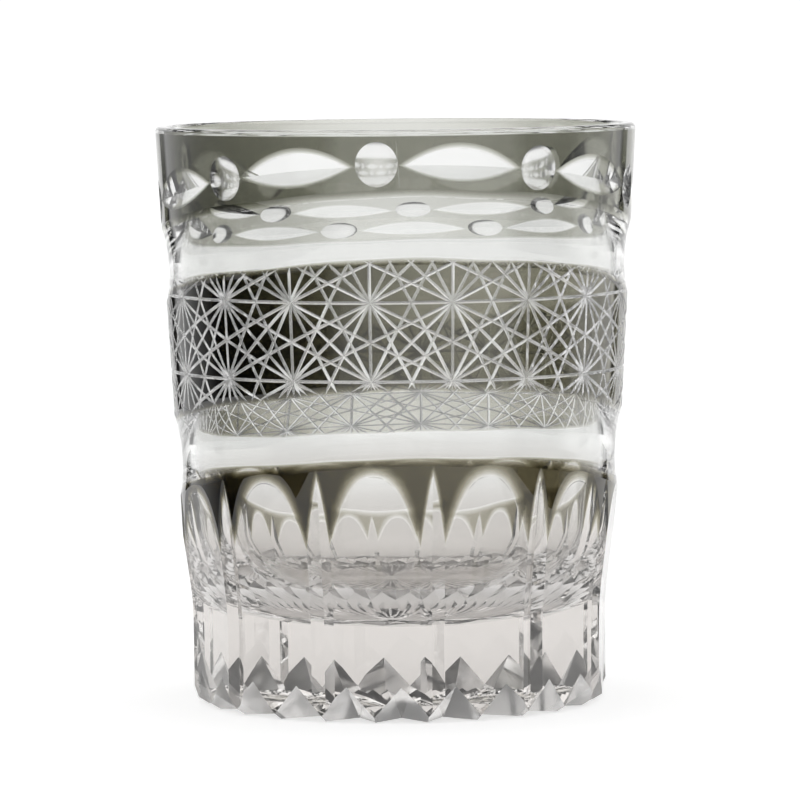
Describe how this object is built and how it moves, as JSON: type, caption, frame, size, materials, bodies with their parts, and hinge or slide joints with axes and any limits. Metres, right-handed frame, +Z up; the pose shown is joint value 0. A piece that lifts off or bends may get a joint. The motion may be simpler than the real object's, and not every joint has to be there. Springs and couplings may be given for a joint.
{
  "type": "whiskey tumbler",
  "caption": "Straight-sided cased crystal tumbler with a thick base, slanted hollow bands, lens and dot cuts, flat panels and a notched foot.",
  "frame": {"origin": "centre of the underside, on the plane the tumbler stands on", "axes": "+Z up along the cup's axis, from the underside to the rim; -Y towards the front, where the slanted bands are near their highest"},
  "size_m": [0.084, 0.084, 0.101],
  "materials": {
    "clear_crystal": "polished",
    "grey_casing_top": "polished",
    "grey_casing_star": "polished, with fine cut lines",
    "grey_casing_petal": "polished"
  },
  "bodies": {
    "root": {"crystal_body": "clear_crystal", "rim_casing": "grey_casing_top", "star_casing": "grey_casing_star", "petal_casing": "grey_casing_petal"}
  },
  "joints": []
}
